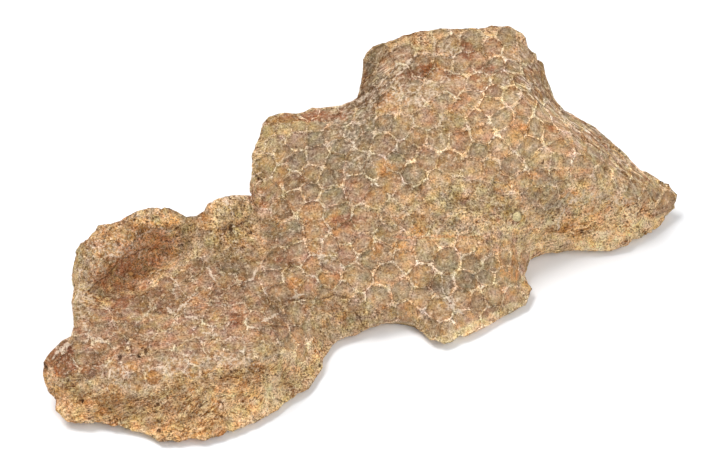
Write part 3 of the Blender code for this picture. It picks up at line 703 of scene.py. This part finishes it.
# Colours of the ground, then of each corallite's floor.
ground = blend(DEEP_TAN, TAN, spread(cloud(13 * MM, 0.4, 4.0, 0.6), 0.2, 0.55))
ground = blend(ground, ROSE, times(spread(cloud(3 * MM, 2.6, 1.0), 0.48, 0.7), 0.45))
ground = blend(ground, OLIVE, times(spread(cloud(3 * MM, 2.7, 1.0), 0.48, 0.7), 0.45))
floor = blend(ground, UMBER, 0.5)
floor = blend(floor, GREY_BROWN, times(spread(tint, 0.4, 0.6), 0.6))
floor = blend(floor, ROSE, times(spread(tint, 0.3, 0.1), 0.4))
floor = blend(floor, GREY_BROWN, times(patchy("grey", 7 * MM, 2.0, 0.25, 0.7), spread(tint, 0.0, 0.4), 0.85))
floor = blend(floor, OCHRE, times(spread(shade, 0.85, 0.95), 0.5))
floor = blend(floor, BROWN, times(spread(shade, 0.25, 0.0), 0.5))
rubbed_middle = times(spread(outward, 0.7, 0.1), spread(cloud(3 * MM, 3.4, 3.0, 0.7), 0.4, 0.6))
# Painted shade: blotches of darker floor round the foot of each cup's wall.
shaded_round_foot = times(spread(outward, 0.75, 1.2), spread(cloud(2.6 * MM, 3.5, 3.0, 0.7), 0.44, 0.6))
floor = blend(floor, TAN, times(rubbed_middle, 0.5))
floor = blend(floor, BROWN, times(shaded_round_foot, 0.45))
closed_in = spread(cloud(6 * MM, 3.6, 3.0, 0.7), 0.4, 0.65, 0.0, 0.45)
floor_here = times(spread(plus(outward, closed_in), 1.6, 1.4), less(hidden), less(times(worn, 0.35)))
ground = blend(ground, floor, floor_here)

# Where the cups are sanded over or rubbed away, the ground is dappled instead.
ground = blend(ground, SAND, times(sand, 0.7))
for tone, size, pattern, begins, whole, share in (
    (GREY_BROWN, 5, 3.1, 0.5, 0.62, 0.7),
    (OLIVE, 6, 3.7, 0.5, 0.62, 0.6),
    (PLUM, 3, 3.8, 0.54, 0.64, 0.5),
    (OCHRE, 4, 3.2, 0.54, 0.68, 0.5),
):
    dapple = spread(cloud(size * MM, pattern), begins, whole)
    ground = blend(ground, tone, times(rubbed, dapple, share))
ground = blend(ground, CREAM, times(rubbed, spread(cloud(3.4 * MM, 3.3, 4.0, 0.7), 0.56, 0.68), 0.4))

# Stains, each where it is marked. Its patches are so many millimetres wide, it begins at one strength of
# its mark and is whole at another, and its share is how much of the ground it covers then.
for name, tone, size, pattern, begins, whole, share in (
    ("grey", GREY_BROWN, 5, 3.0, 0.3, 0.65, 0.5),
    ("rose", ROSE, 5, 4.0, 0.3, 0.9, 0.5),
    ("ochre", OCHRE, 4, 5.0, 0.3, 0.65, 0.8),
    ("olive", OLIVE, 4, 6.0, 0.3, 0.65, 0.6),
    ("apricot", APRICOT, 4, 8.0, 0.2, 0.8, 0.6),
    ("rust", RUST, 4, 7.0, 0.3, 0.65, 0.7),
):
    ground = blend(ground, tone, times(patchy(name, size * MM, pattern, begins, whole), share))

# Fibrous breaks: threads of pale and dark stone, with slits between them.
thread = cloud(0.5 * MM, 0.6, 2.0, 0.6, drawn)
strand = cloud(2.4 * MM, 0.7, 3.0, 0.7, drawn)
slits = times(fibrous, spread(thread, 0.5, 0.4), spread(strand, 0.62, 0.4, 0.5, 1.0))
ground = blend(ground, FIBRE, times(fibrous, spread(strand, 0.4, 0.6), 0.75))
# Painted shadow below the front ledge, and gold-brown patches elsewhere, where marked.
ground = blend(ground, UMBER_GOLD, times(patchy("umber_and_ledge_shadow", 3 * MM, 2.1), 0.6))
ground = blend(ground, UMBER_GOLD, slits)
ground = blend(ground, FIBRE, times(fibrous, spread(thread, 0.52, 0.6), 0.9))
ground = blend(ground, OCHRE, times(fibrous, patchy("ochre", 3 * MM, 5.5), 0.3))
# Painted highlight along the rounded lower edges.
ground = blend(ground, PAINTED_EDGE_HIGHLIGHT, times(patchy("pale", 3 * MM, 1.9, 0.3, 0.8), 0.75))

# Layers of growth show as stripes down the right flank and up the left cheek of the horn.
left_to_right = s.node("ShaderNodeSeparateXYZ", Vector=place).outputs[0]
right_half = spread(left_to_right, HORN_CHEEK_ENDS, RIGHT_FLANK_BEGINS)
flank_layers = cloud(1.3 * MM, 0.8, 3.0, 0.7, s.drawn_out(place, FLANK_LAYERS_RUN, 0.9))
cheek_layers = cloud(0.9 * MM, 0.9, 3.0, 0.6, s.drawn_out(place, CHEEK_LAYERS_RUN, 0.9))
layers = plus(times(flank_layers, right_half), times(cheek_layers, less(right_half)))
strata = times(mark("strata"), spread(cloud(5 * MM, 1.6, 2.0), 0.3, 0.5))
ground = blend(ground, BROWN, times(strata, spread(layers, 0.5, 0.4), 0.85))
ground = blend(ground, CREAM, times(strata, spread(layers, 0.53, 0.6), 0.85))

# Pale walls, thin and patchy, with a dark line of painted shade here and there at their foot.
wall_here = spread(plus(cloud(4 * MM, 1.0, 4.0, 0.75), times(worn, -0.03)), 0.36, 0.5)
wall = times(spread(plus(outward, times(speck, 0.6)), 1.95, 2.2), less(hidden), wall_here)
ground = blend(ground, CREAM, times(wall, spread(cloud(9 * MM, 3.9, 3.0, 0.6), 0.35, 0.6, 0.5, 0.85)))
foot = spread(size_of(plus(outward, -1.5)), 0.22, 0.05)
foot_here = times(spread(cloud(4 * MM, 1.1, 3.0, 0.6), 0.46, 0.56), less(hidden), less(times(worn, 0.6)))
ground = blend(ground, BROWN, times(foot, foot_here, 0.8))

# Places where the whole ground is darker, on the horn's left cheek as painted shade, and places painted
# lighter as painted light where they lie in shade; sooty specks, and the rubble of the bare breaks.
ground = turned(ground, PAINTED_SHADE_AND_DARKENING, patchy("dim", 4 * MM, 2.2, 0.2, 0.8))
ground = turned(ground, PAINTED_LIGHT, patchy("light", 5 * MM, 2.3, 0.1, 0.9))
sooty = times(patchy("soot", 3 * MM, 2.4), spread(cloud(0.9 * MM, 2.5, 3.0, 0.7), 0.46, 0.58))
ground = blend(ground, SOOT, times(sooty, 0.5))
ground = blend(ground, BROWN, times(rubble, spread(cloud(1.1 * MM, 4.1, 4.0, 0.7), 0.48, 0.38), 0.8))
ground = blend(ground, CREAM, times(rubble, spread(cloud(1.0 * MM, 4.2, 4.0, 0.7), 0.54, 0.62), 0.75))
ground = blend(ground, OLIVE, times(rubble, spread(cloud(4 * MM, 4.3, 4.0, 0.7), 0.52, 0.64), 0.6))

# Small blushes of rust, grey, olive and rose, as wide as half a cup, tint the stone and leave it as light.
warmth, blush = cloud(2.4 * MM, 4.5, 0.0), cloud(2.8 * MM, 4.6, 0.0)
ground = turned(ground, RUSTIER, spread(warmth, 0.5, 0.75))
ground = turned(ground, GREYER, spread(warmth, 0.5, 0.25))
ground = turned(ground, GREENER, spread(blush, 0.5, 0.75))
ground = turned(ground, ROSIER, spread(blush, 0.5, 0.25))

# Grain over everything: each grain is darker and browner, or paler, than the stone round it. It is weaker on
# the floors of the cups and on fibres.
rougher = less(larger(times(floor_here, 0.4), times(fibrous, 0.2)))
chips = cloud(0.65 * MM, 5.1, 3.0, 0.75)
flecks = cloud(0.65 * MM, 5.2, 3.0, 0.75)
ground = turned(ground, DARK_MOTTLE, times(spread(mottle, 0.52, 0.36), less(times(floor_here, 0.3))))
ground = turned(ground, DARK_CRUMB, times(spread(crumb, 0.5, 0.3), rougher))
ground = turned(ground, DARK_SPECK, times(spread(speck, 0.5, 0.33), rougher))
ground = blend(ground, CREAM, times(spread(crumb, 0.52, 0.72), 0.55))
ground = turned(ground, BRIGHT_SPECK, times(spread(speck, 0.51, 0.68), rougher, 0.7))
ground = blend(ground, PORE, times(spread(chips, 0.37, 0.33), larger(rougher, 0.7), 0.75))
ground = blend(ground, CHALK, times(spread(flecks, 0.61, 0.65), rougher, 0.75))
ground = blend(ground, CHALK, times(patchy("chalk", 3 * MM, 1.2, 0.2, 0.9), spread(crumb, 0.46, 0.6), 0.65))


def drawn_line(name, width):
    """How much of a line shows: it wanders off its course, and is as wide as given."""
    off = size_of(plus(mark(name + " side"), wander, wobble))
    return times(spread(plus(off, times(width, -1.0)), 0.12, -0.12), mark(name + " near"))


vein = drawn_line("vein", spread(plus(mottle, times(speck, 0.5)), 0.6, 0.9, 0.0, 0.4))
ground = blend(ground, CHALK, times(vein, 0.75))

# Pores: round holes of many sizes, most of them on broken ground.
holes = s.node("ShaderNodeTexVoronoi", Vector=place, Scale=1 / PORE_SPACING)
pick = s.node("ShaderNodeSeparateColor", Color=holes.outputs["Color"]).outputs[0]
porous = larger(broken, larger(times(sand, 0.5), 0.22))
reach = times(spread(pick, 0.45, 1.0, 0.0, 0.26), spread(cloud(6 * MM, 1.3), 0.35, 0.6, 0.35, 1.0), porous)
ragged = plus(holes.outputs["Distance"], times(crumb, 0.6), -0.3)
hole = times(spread(plus(ragged, times(reach, -1.0)), 0.06, -0.04), spread(reach, 0.02, 0.07))
ground = blend(ground, PORE, times(hole, 0.8))

# Needle holes: half as wide and ragged, crowded where the ground is marked as pitted.
needles = s.node("ShaderNodeTexVoronoi", Vector=place, Scale=1 / NEEDLE_SPACING)
needle_pick = s.node("ShaderNodeSeparateColor", Color=needles.outputs["Color"]).outputs[0]
pitted = spread(mark("pitted"), 0.0, 0.9)
needle_spread = spread(plus(cloud(5 * MM, 1.4, 3.0, 0.6), times(pitted, 0.15)), 0.42, 0.58)
needle_wide = times(spread(needle_pick, 0.2, 1.0, 0.14, 0.38), needle_spread)
needle = plus(needles.outputs["Distance"], times(speck, 0.5), times(needle_wide, -1.0), -0.25)
needle = times(spread(needle, 0.04, -0.06), spread(needle_wide, 0.04, 0.1))
needle = times(needle, larger(pitted, times(hidden, 0.55)))
ground = blend(ground, BROWN_PIT, times(needle, 0.85))

# Cracks, single deep pits, and the pebbles with a dark line of painted shade round each.
# The crack along the upper edge of the hollow is a painted shadow line under its overhanging lip.
crack = drawn_line("crack", spread(plus(mottle, times(crumb, 0.5)), 0.6, 0.9, 0.0, 0.32))
ground = blend(ground, PORE, times(crack, 0.75))
pit = spread(plus(mark("pit"), times(crumb, 2.4), -1.1), 0.2, -0.1)
ground = blend(ground, PIT, times(pit, 0.85))
pebble = plus(mark("pebble"), times(crumb, 1.4), -0.6)
ground = blend(ground, PIT, times(spread(pebble, 0.6, 0.2), spread(mottle, 0.42, 0.5), 0.6))
pebble_colour = blend(CRUMB, PEBBLE, right_half)
ground = blend(ground, pebble_colour, times(spread(pebble, 0.15, -0.1), spread(speck, 0.3, 0.5, 0.5, 0.95)))
s.put(shader.inputs["Base Color"], ground)
shader.inputs["Roughness"].default_value = ROUGHNESS
shader.inputs["Specular IOR Level"].default_value = SHINE

# The finest relief is a bump only: grains, threads and pale flecks stand up, and pores, needle holes and
# chips go down.
grains = plus(times(speck, rougher, 0.6), times(crumb, 1.1))
dents = plus(grains, times(thread, fibrous, 1.2), times(hole, -0.8), times(needle, -0.6))
bumps = plus(dents, times(spread(chips, 0.38, 0.33), -0.6), times(spread(flecks, 0.59, 0.65), 0.3))
bump = s.node("ShaderNodeBump", Strength=1.0, Distance=BUMP_DEPTH, Height=bumps)
s.put(shader.inputs["Normal"], bump.outputs[0])


# The table, the light and the view. The piece lies on a plain white table, lit by a soft window of light
# behind its left shoulder, by a weaker one in front of it on the right, and a little from all round.

TABLE_HALF_WIDTH = 3.0
TABLE_WHITE = (0.93, 0.93, 0.94, 1)
TABLE_ROUGHNESS = 0.9
ROOM_LIGHT = (0.96, 1.0, 1.03, 1)
ROOM_STRENGTH = 0.46
LIT_POINT = Vector((0, 0, 0.02))
LAMPS = (  # name, place in metres, watts, width in metres
    ("window", (-0.52, 0.36, 1.2), 15.8, 0.65),
    ("front", (0.6, -0.6, 1.0), 6.3, 1.0),
)
VIEW_DISTANCE = 0.9
LENS = 163.4
FILM_WIDTH = 36
SEES_TO = 20

far = TABLE_HALF_WIDTH
table_mesh = bpy.data.meshes.new("table")
table_mesh.from_pydata([(-far, -far, 0), (far, -far, 0), (far, far, 0), (-far, far, 0)], [], [(0, 1, 2, 3)])
table = bpy.data.objects.new("table", table_mesh)
bpy.context.scene.collection.objects.link(table)
white = bpy.data.materials.new("white_table")
white.use_nodes = True
paint = white.node_tree.nodes["Principled BSDF"]
paint.inputs["Base Color"].default_value = TABLE_WHITE
paint.inputs["Roughness"].default_value = TABLE_ROUGHNESS
table_mesh.materials.append(white)

world = bpy.data.worlds.new("room")
bpy.context.scene.world = world
world.use_nodes = True
room = world.node_tree.nodes["Background"]
room.inputs["Color"].default_value = ROOM_LIGHT
room.inputs["Strength"].default_value = ROOM_STRENGTH

for name, spot, watts, wide in LAMPS:
    light = bpy.data.lights.new(name, "AREA")
    light.size = wide
    light.energy = watts
    lamp = bpy.data.objects.new(name, light)
    lamp.location = spot
    lamp.rotation_euler = (LIT_POINT - lamp.location).to_track_quat("-Z", "Y").to_euler()
    bpy.context.scene.collection.objects.link(lamp)

lens = bpy.data.cameras.new("camera")
lens.sensor_width = FILM_WIDTH
lens.lens = LENS
lens.clip_end = SEES_TO
camera = bpy.data.objects.new("camera", lens)
camera.location = AIM + Vector((0, -math.cos(SIGHT), math.sin(SIGHT))) * VIEW_DISTANCE
camera.rotation_euler = (math.radians(90) - SIGHT, 0, 0)
bpy.context.scene.collection.objects.link(camera)
bpy.context.scene.camera = camera
bpy.context.scene.view_settings.view_transform = "Standard"
